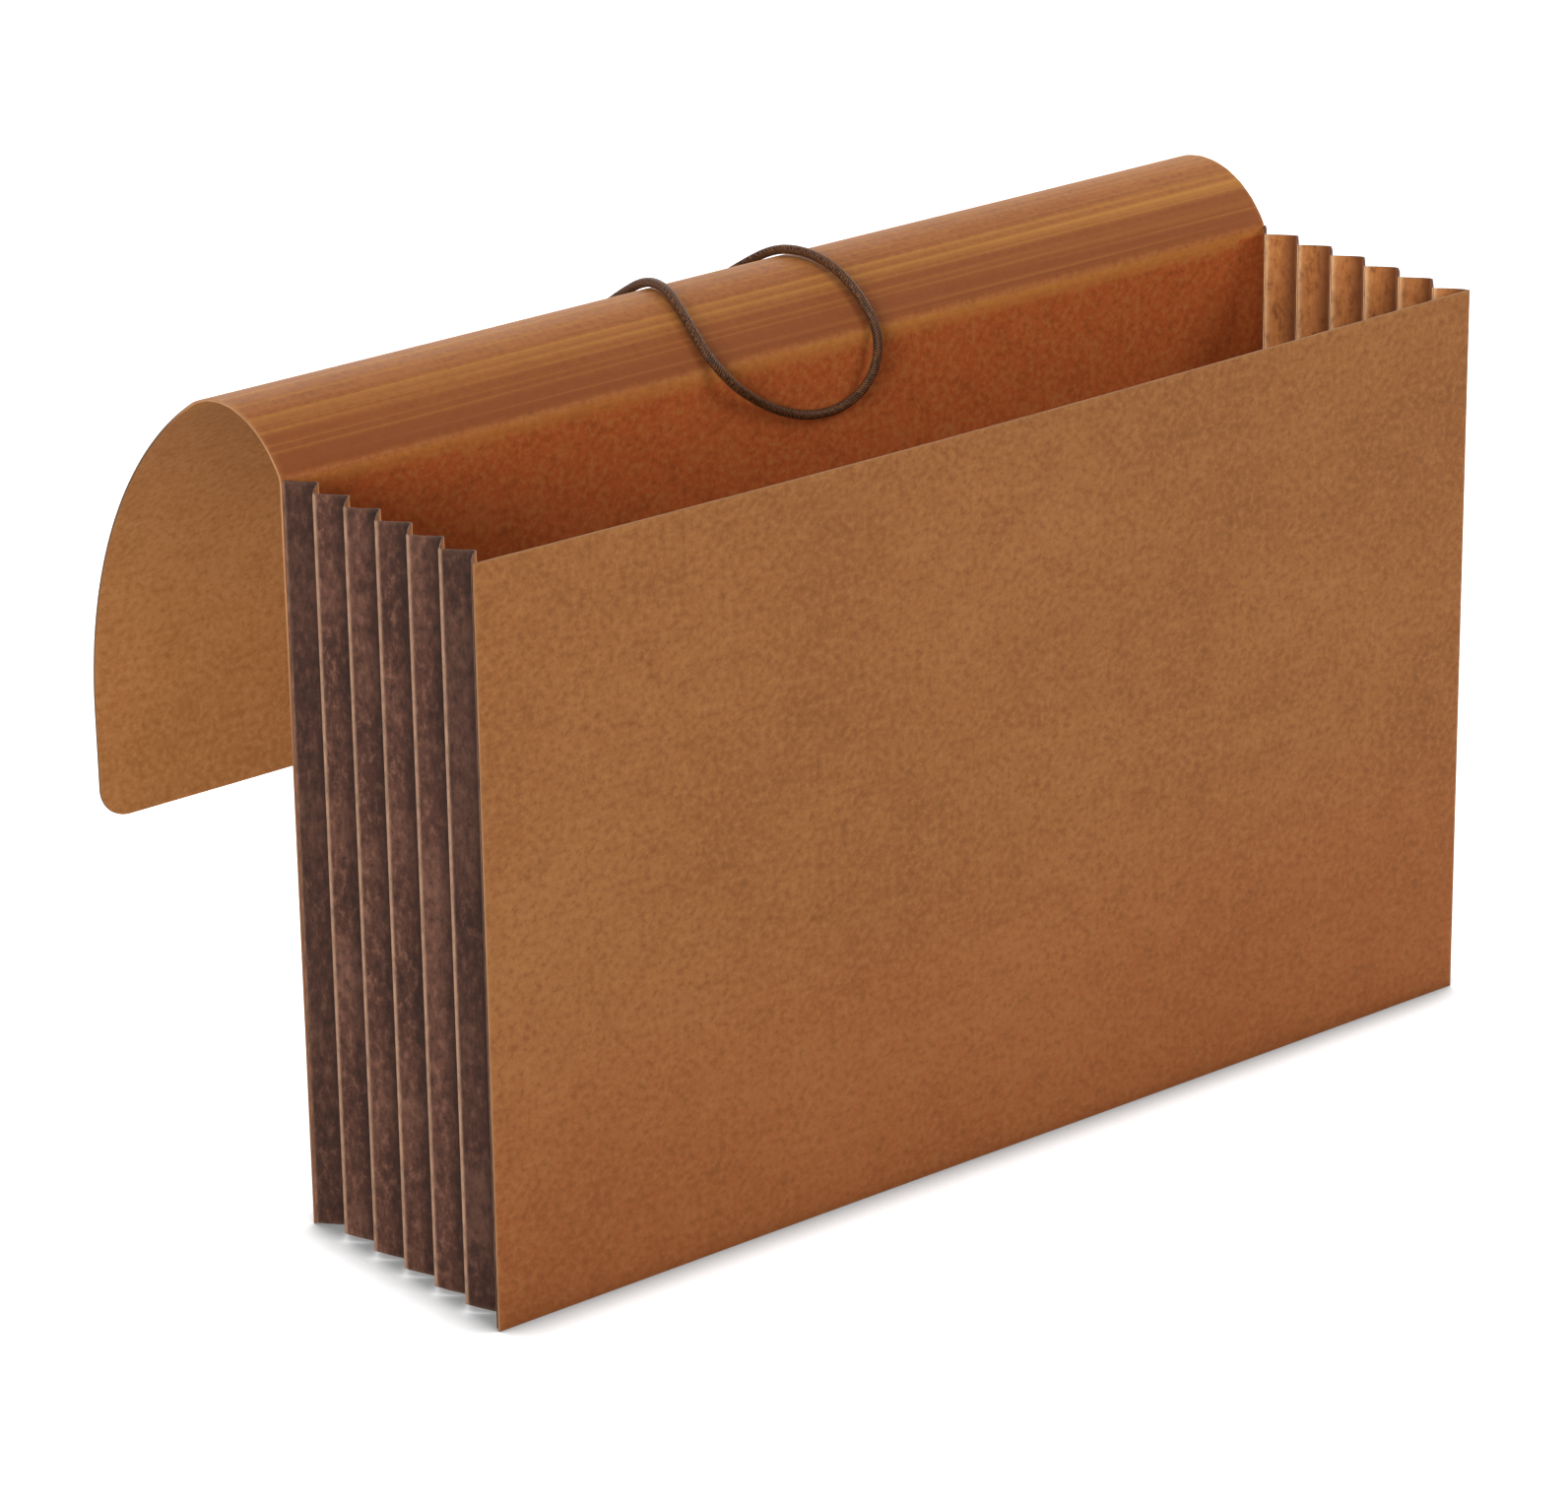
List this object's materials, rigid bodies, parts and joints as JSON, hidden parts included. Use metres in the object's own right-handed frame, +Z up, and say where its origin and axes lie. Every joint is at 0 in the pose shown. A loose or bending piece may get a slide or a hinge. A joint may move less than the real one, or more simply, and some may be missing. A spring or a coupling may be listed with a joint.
{
  "type": "accordion file folder",
  "caption": "Expanding document wallet with accordion-pleated gussets on three sides, a scored board flap that folds over the open top, and an elastic cord loop.",
  "frame": {"origin": "centre of the bounding box's base, on the surface the wallet stands on, the cord left out", "axes": "+X along the wallet's width, +Y from the front panel back to the hanging flap, +Z up"},
  "size_m": [0.381, 0.2091, 0.2562],
  "materials": {
    "board": "matt fibrous kraft board",
    "gusset": "matt fibrous gusset paper",
    "elastic": "braided elastic",
    "eyelet": "dull brass"
  },
  "bodies": {
    "back": {"back_panel": "board", "left_tab_back": "gusset", "right_tab_back": "gusset", "bottom_tab_back": "gusset", "elastic_cord": "elastic"},
    "front": {"front_panel": "board", "left_tab_front": "gusset", "right_tab_front": "gusset", "bottom_tab_front": "gusset"},
    "gusset_fold_01": {"gusset_fold_01": "gusset"},
    "gusset_fold_02": {"gusset_fold_02": "gusset"},
    "gusset_fold_03": {"gusset_fold_03": "gusset"},
    "gusset_fold_04": {"gusset_fold_04": "gusset"},
    "gusset_fold_05": {"gusset_fold_05": "gusset"},
    "left_pleat_01": {"left_pleat_01": "gusset"},
    "left_pleat_02": {"left_pleat_02": "gusset"},
    "left_pleat_03": {"left_pleat_03": "gusset"},
    "left_pleat_04": {"left_pleat_04": "gusset"},
    "left_pleat_05": {"left_pleat_05": "gusset"},
    "left_pleat_06": {"left_pleat_06": "gusset"},
    "left_pleat_07": {"left_pleat_07": "gusset"},
    "left_pleat_08": {"left_pleat_08": "gusset"},
    "left_pleat_09": {"left_pleat_09": "gusset"},
    "left_pleat_10": {"left_pleat_10": "gusset"},
    "left_pleat_11": {"left_pleat_11": "gusset"},
    "left_pleat_12": {"left_pleat_12": "gusset"},
    "right_pleat_01": {"right_pleat_01": "gusset"},
    "right_pleat_02": {"right_pleat_02": "gusset"},
    "right_pleat_03": {"right_pleat_03": "gusset"},
    "right_pleat_04": {"right_pleat_04": "gusset"},
    "right_pleat_05": {"right_pleat_05": "gusset"},
    "right_pleat_06": {"right_pleat_06": "gusset"},
    "right_pleat_07": {"right_pleat_07": "gusset"},
    "right_pleat_08": {"right_pleat_08": "gusset"},
    "right_pleat_09": {"right_pleat_09": "gusset"},
    "right_pleat_10": {"right_pleat_10": "gusset"},
    "right_pleat_11": {"right_pleat_11": "gusset"},
    "right_pleat_12": {"right_pleat_12": "gusset"},
    "bottom_pleat_01": {"bottom_pleat_01": "gusset"},
    "bottom_pleat_02": {"bottom_pleat_02": "gusset"},
    "bottom_pleat_03": {"bottom_pleat_03": "gusset"},
    "bottom_pleat_04": {"bottom_pleat_04": "gusset"},
    "bottom_pleat_05": {"bottom_pleat_05": "gusset"},
    "bottom_pleat_06": {"bottom_pleat_06": "gusset"},
    "bottom_pleat_07": {"bottom_pleat_07": "gusset"},
    "bottom_pleat_08": {"bottom_pleat_08": "gusset"},
    "bottom_pleat_09": {"bottom_pleat_09": "gusset"},
    "bottom_pleat_10": {"bottom_pleat_10": "gusset"},
    "bottom_pleat_11": {"bottom_pleat_11": "gusset"},
    "bottom_pleat_12": {"bottom_pleat_12": "gusset"},
    "flap_curl_01": {"flap_curl_01": "board"},
    "flap_curl_02": {"flap_curl_02": "board"},
    "flap_roof": {"flap_roof": "board"},
    "flap_bend": {"flap_bend": "board"},
    "flap_apron": {"flap_apron": "board"},
    "flap_hem": {"flap_hem": "board", "cord_eyelets": "eyelet", "cord_knots": "elastic"}
  },
  "joints": [
    {"name": "pocket_slide", "type": "slide", "parent": "back", "child": "front", "axis": [0, 1, 0], "range_m": [0, 0.065]},
    {"name": "fold_slide_01", "type": "slide", "parent": "back", "child": "gusset_fold_01", "axis": [0, 1, 0], "range_m": [0, 0.01083]},
    {"name": "fold_slide_02", "type": "slide", "parent": "back", "child": "gusset_fold_02", "axis": [0, 1, 0], "range_m": [0, 0.02167]},
    {"name": "fold_slide_03", "type": "slide", "parent": "back", "child": "gusset_fold_03", "axis": [0, 1, 0], "range_m": [0, 0.0325]},
    {"name": "fold_slide_04", "type": "slide", "parent": "back", "child": "gusset_fold_04", "axis": [0, 1, 0], "range_m": [0, 0.04333]},
    {"name": "fold_slide_05", "type": "slide", "parent": "back", "child": "gusset_fold_05", "axis": [0, 1, 0], "range_m": [0, 0.05417]},
    {"name": "left_hinge_01", "type": "hinge", "parent": "back", "child": "left_pleat_01", "pos_m": [-0.1899, -0.00791, 0.1175], "axis": [0, 0, 1], "range_deg": [0, 46.51]},
    {"name": "left_hinge_02", "type": "hinge", "parent": "gusset_fold_01", "child": "left_pleat_02", "pos_m": [-0.1899, -0.02314, 0.1175], "axis": [0, 0, -1], "range_deg": [0, 46.51]},
    {"name": "left_hinge_03", "type": "hinge", "parent": "gusset_fold_01", "child": "left_pleat_03", "pos_m": [-0.1899, -0.02314, 0.1175], "axis": [0, 0, 1], "range_deg": [0, 46.51]},
    {"name": "left_hinge_04", "type": "hinge", "parent": "gusset_fold_02", "child": "left_pleat_04", "pos_m": [-0.1899, -0.03838, 0.1175], "axis": [0, 0, -1], "range_deg": [0, 46.51]},
    {"name": "left_hinge_05", "type": "hinge", "parent": "gusset_fold_02", "child": "left_pleat_05", "pos_m": [-0.1899, -0.03838, 0.1175], "axis": [0, 0, 1], "range_deg": [0, 46.51]},
    {"name": "left_hinge_06", "type": "hinge", "parent": "gusset_fold_03", "child": "left_pleat_06", "pos_m": [-0.1899, -0.05361, 0.1175], "axis": [0, 0, -1], "range_deg": [0, 46.51]},
    {"name": "left_hinge_07", "type": "hinge", "parent": "gusset_fold_03", "child": "left_pleat_07", "pos_m": [-0.1899, -0.05361, 0.1175], "axis": [0, 0, 1], "range_deg": [0, 46.51]},
    {"name": "left_hinge_08", "type": "hinge", "parent": "gusset_fold_04", "child": "left_pleat_08", "pos_m": [-0.1899, -0.06885, 0.1175], "axis": [0, 0, -1], "range_deg": [0, 46.51]},
    {"name": "left_hinge_09", "type": "hinge", "parent": "gusset_fold_04", "child": "left_pleat_09", "pos_m": [-0.1899, -0.06885, 0.1175], "axis": [0, 0, 1], "range_deg": [0, 46.51]},
    {"name": "left_hinge_10", "type": "hinge", "parent": "gusset_fold_05", "child": "left_pleat_10", "pos_m": [-0.1899, -0.08408, 0.1175], "axis": [0, 0, -1], "range_deg": [0, 46.51]},
    {"name": "left_hinge_11", "type": "hinge", "parent": "gusset_fold_05", "child": "left_pleat_11", "pos_m": [-0.1899, -0.08408, 0.1175], "axis": [0, 0, 1], "range_deg": [0, 46.51]},
    {"name": "left_hinge_12", "type": "hinge", "parent": "front", "child": "left_pleat_12", "pos_m": [-0.1899, -0.09932, 0.1175], "axis": [0, 0, -1], "range_deg": [0, 46.51]},
    {"name": "right_hinge_01", "type": "hinge", "parent": "back", "child": "right_pleat_01", "pos_m": [0.1899, -0.00791, 0.1175], "axis": [0, 0, -1], "range_deg": [0, 46.51]},
    {"name": "right_hinge_02", "type": "hinge", "parent": "gusset_fold_01", "child": "right_pleat_02", "pos_m": [0.1899, -0.02314, 0.1175], "axis": [0, 0, 1], "range_deg": [0, 46.51]},
    {"name": "right_hinge_03", "type": "hinge", "parent": "gusset_fold_01", "child": "right_pleat_03", "pos_m": [0.1899, -0.02314, 0.1175], "axis": [0, 0, -1], "range_deg": [0, 46.51]},
    {"name": "right_hinge_04", "type": "hinge", "parent": "gusset_fold_02", "child": "right_pleat_04", "pos_m": [0.1899, -0.03838, 0.1175], "axis": [0, 0, 1], "range_deg": [0, 46.51]},
    {"name": "right_hinge_05", "type": "hinge", "parent": "gusset_fold_02", "child": "right_pleat_05", "pos_m": [0.1899, -0.03838, 0.1175], "axis": [0, 0, -1], "range_deg": [0, 46.51]},
    {"name": "right_hinge_06", "type": "hinge", "parent": "gusset_fold_03", "child": "right_pleat_06", "pos_m": [0.1899, -0.05361, 0.1175], "axis": [0, 0, 1], "range_deg": [0, 46.51]},
    {"name": "right_hinge_07", "type": "hinge", "parent": "gusset_fold_03", "child": "right_pleat_07", "pos_m": [0.1899, -0.05361, 0.1175], "axis": [0, 0, -1], "range_deg": [0, 46.51]},
    {"name": "right_hinge_08", "type": "hinge", "parent": "gusset_fold_04", "child": "right_pleat_08", "pos_m": [0.1899, -0.06885, 0.1175], "axis": [0, 0, 1], "range_deg": [0, 46.51]},
    {"name": "right_hinge_09", "type": "hinge", "parent": "gusset_fold_04", "child": "right_pleat_09", "pos_m": [0.1899, -0.06885, 0.1175], "axis": [0, 0, -1], "range_deg": [0, 46.51]},
    {"name": "right_hinge_10", "type": "hinge", "parent": "gusset_fold_05", "child": "right_pleat_10", "pos_m": [0.1899, -0.08408, 0.1175], "axis": [0, 0, 1], "range_deg": [0, 46.51]},
    {"name": "right_hinge_11", "type": "hinge", "parent": "gusset_fold_05", "child": "right_pleat_11", "pos_m": [0.1899, -0.08408, 0.1175], "axis": [0, 0, -1], "range_deg": [0, 46.51]},
    {"name": "right_hinge_12", "type": "hinge", "parent": "front", "child": "right_pleat_12", "pos_m": [0.1899, -0.09932, 0.1175], "axis": [0, 0, 1], "range_deg": [0, 46.51]},
    {"name": "bottom_hinge_01", "type": "hinge", "parent": "back", "child": "bottom_pleat_01", "pos_m": [0, -0.00791, 0.0012], "axis": [-1, 0, 0], "range_deg": [0, 46.51]},
    {"name": "bottom_hinge_02", "type": "hinge", "parent": "gusset_fold_01", "child": "bottom_pleat_02", "pos_m": [0, -0.02314, 0.0012], "axis": [1, 0, 0], "range_deg": [0, 46.51]},
    {"name": "bottom_hinge_03", "type": "hinge", "parent": "gusset_fold_01", "child": "bottom_pleat_03", "pos_m": [0, -0.02314, 0.0012], "axis": [-1, 0, 0], "range_deg": [0, 46.51]},
    {"name": "bottom_hinge_04", "type": "hinge", "parent": "gusset_fold_02", "child": "bottom_pleat_04", "pos_m": [0, -0.03838, 0.0012], "axis": [1, 0, 0], "range_deg": [0, 46.51]},
    {"name": "bottom_hinge_05", "type": "hinge", "parent": "gusset_fold_02", "child": "bottom_pleat_05", "pos_m": [0, -0.03838, 0.0012], "axis": [-1, 0, 0], "range_deg": [0, 46.51]},
    {"name": "bottom_hinge_06", "type": "hinge", "parent": "gusset_fold_03", "child": "bottom_pleat_06", "pos_m": [0, -0.05361, 0.0012], "axis": [1, 0, 0], "range_deg": [0, 46.51]},
    {"name": "bottom_hinge_07", "type": "hinge", "parent": "gusset_fold_03", "child": "bottom_pleat_07", "pos_m": [0, -0.05361, 0.0012], "axis": [-1, 0, 0], "range_deg": [0, 46.51]},
    {"name": "bottom_hinge_08", "type": "hinge", "parent": "gusset_fold_04", "child": "bottom_pleat_08", "pos_m": [0, -0.06885, 0.0012], "axis": [1, 0, 0], "range_deg": [0, 46.51]},
    {"name": "bottom_hinge_09", "type": "hinge", "parent": "gusset_fold_04", "child": "bottom_pleat_09", "pos_m": [0, -0.06885, 0.0012], "axis": [-1, 0, 0], "range_deg": [0, 46.51]},
    {"name": "bottom_hinge_10", "type": "hinge", "parent": "gusset_fold_05", "child": "bottom_pleat_10", "pos_m": [0, -0.08408, 0.0012], "axis": [1, 0, 0], "range_deg": [0, 46.51]},
    {"name": "bottom_hinge_11", "type": "hinge", "parent": "gusset_fold_05", "child": "bottom_pleat_11", "pos_m": [0, -0.08408, 0.0012], "axis": [-1, 0, 0], "range_deg": [0, 46.51]},
    {"name": "bottom_hinge_12", "type": "hinge", "parent": "front", "child": "bottom_pleat_12", "pos_m": [0, -0.09932, 0.0012], "axis": [1, 0, 0], "range_deg": [0, 46.51]},
    {"name": "flap_crease", "type": "hinge", "parent": "back", "child": "flap_curl_01", "pos_m": [0, -0.00741, 0.235], "axis": [1, 0, 0], "range_deg": [0, 107.25], "deforming": ["elastic_cord"]},
    {"name": "flap_score_01", "type": "hinge", "parent": "flap_curl_01", "child": "flap_curl_02", "pos_m": [0, 0.01347, 0.25059], "axis": [1, 0, 0], "range_deg": [0, 82.5]},
    {"name": "flap_score_02", "type": "hinge", "parent": "flap_curl_02", "child": "flap_roof", "pos_m": [0, 0.03914, 0.24618], "axis": [1, 0, 0], "range_deg": [0, 39.44]},
    {"name": "flap_score_03", "type": "hinge", "parent": "flap_roof", "child": "flap_bend", "pos_m": [0, 0.07396, 0.2135], "axis": [1, 0, 0], "range_deg": [0, 57.28]},
    {"name": "flap_score_04", "type": "hinge", "parent": "flap_bend", "child": "flap_apron", "pos_m": [0, 0.08649, 0.19307], "axis": [1, 0, 0], "range_deg": [0, 60.31]},
    {"name": "flap_score_05", "type": "hinge", "parent": "flap_apron", "child": "flap_hem", "pos_m": [0, 0.10062, 0.13296], "axis": [1, 0, 0], "range_deg": [0, 13.22]}
  ],
  "couplings": [
    {"joint": "fold_slide_01", "follows": "pocket_slide", "ratio": 0.16667},
    {"joint": "fold_slide_02", "follows": "pocket_slide", "ratio": 0.33333},
    {"joint": "fold_slide_03", "follows": "pocket_slide", "ratio": 0.5},
    {"joint": "fold_slide_04", "follows": "pocket_slide", "ratio": 0.66667},
    {"joint": "fold_slide_05", "follows": "pocket_slide", "ratio": 0.83333},
    {"joint": "left_hinge_01", "follows": "pocket_slide", "rad_per_m": 12.486},
    {"joint": "left_hinge_02", "follows": "pocket_slide", "rad_per_m": 12.486},
    {"joint": "left_hinge_03", "follows": "pocket_slide", "rad_per_m": 12.486},
    {"joint": "left_hinge_04", "follows": "pocket_slide", "rad_per_m": 12.486},
    {"joint": "left_hinge_05", "follows": "pocket_slide", "rad_per_m": 12.486},
    {"joint": "left_hinge_06", "follows": "pocket_slide", "rad_per_m": 12.486},
    {"joint": "left_hinge_07", "follows": "pocket_slide", "rad_per_m": 12.486},
    {"joint": "left_hinge_08", "follows": "pocket_slide", "rad_per_m": 12.486},
    {"joint": "left_hinge_09", "follows": "pocket_slide", "rad_per_m": 12.486},
    {"joint": "left_hinge_10", "follows": "pocket_slide", "rad_per_m": 12.486},
    {"joint": "left_hinge_11", "follows": "pocket_slide", "rad_per_m": 12.486},
    {"joint": "left_hinge_12", "follows": "pocket_slide", "rad_per_m": 12.486},
    {"joint": "right_hinge_01", "follows": "pocket_slide", "rad_per_m": 12.486},
    {"joint": "right_hinge_02", "follows": "pocket_slide", "rad_per_m": 12.486},
    {"joint": "right_hinge_03", "follows": "pocket_slide", "rad_per_m": 12.486},
    {"joint": "right_hinge_04", "follows": "pocket_slide", "rad_per_m": 12.486},
    {"joint": "right_hinge_05", "follows": "pocket_slide", "rad_per_m": 12.486},
    {"joint": "right_hinge_06", "follows": "pocket_slide", "rad_per_m": 12.486},
    {"joint": "right_hinge_07", "follows": "pocket_slide", "rad_per_m": 12.486},
    {"joint": "right_hinge_08", "follows": "pocket_slide", "rad_per_m": 12.486},
    {"joint": "right_hinge_09", "follows": "pocket_slide", "rad_per_m": 12.486},
    {"joint": "right_hinge_10", "follows": "pocket_slide", "rad_per_m": 12.486},
    {"joint": "right_hinge_11", "follows": "pocket_slide", "rad_per_m": 12.486},
    {"joint": "right_hinge_12", "follows": "pocket_slide", "rad_per_m": 12.486},
    {"joint": "bottom_hinge_01", "follows": "pocket_slide", "rad_per_m": 12.486},
    {"joint": "bottom_hinge_02", "follows": "pocket_slide", "rad_per_m": 12.486},
    {"joint": "bottom_hinge_03", "follows": "pocket_slide", "rad_per_m": 12.486},
    {"joint": "bottom_hinge_04", "follows": "pocket_slide", "rad_per_m": 12.486},
    {"joint": "bottom_hinge_05", "follows": "pocket_slide", "rad_per_m": 12.486},
    {"joint": "bottom_hinge_06", "follows": "pocket_slide", "rad_per_m": 12.486},
    {"joint": "bottom_hinge_07", "follows": "pocket_slide", "rad_per_m": 12.486},
    {"joint": "bottom_hinge_08", "follows": "pocket_slide", "rad_per_m": 12.486},
    {"joint": "bottom_hinge_09", "follows": "pocket_slide", "rad_per_m": 12.486},
    {"joint": "bottom_hinge_10", "follows": "pocket_slide", "rad_per_m": 12.486},
    {"joint": "bottom_hinge_11", "follows": "pocket_slide", "rad_per_m": 12.486},
    {"joint": "bottom_hinge_12", "follows": "pocket_slide", "rad_per_m": 12.486},
    {"joint": "flap_score_01", "follows": "flap_crease", "ratio": 0.76923},
    {"joint": "flap_score_02", "follows": "flap_crease", "ratio": 0.3677},
    {"joint": "flap_score_03", "follows": "flap_crease", "ratio": 0.53407},
    {"joint": "flap_score_04", "follows": "flap_crease", "ratio": 0.56237},
    {"joint": "flap_score_05", "follows": "flap_crease", "ratio": 0.12327}
  ]
}
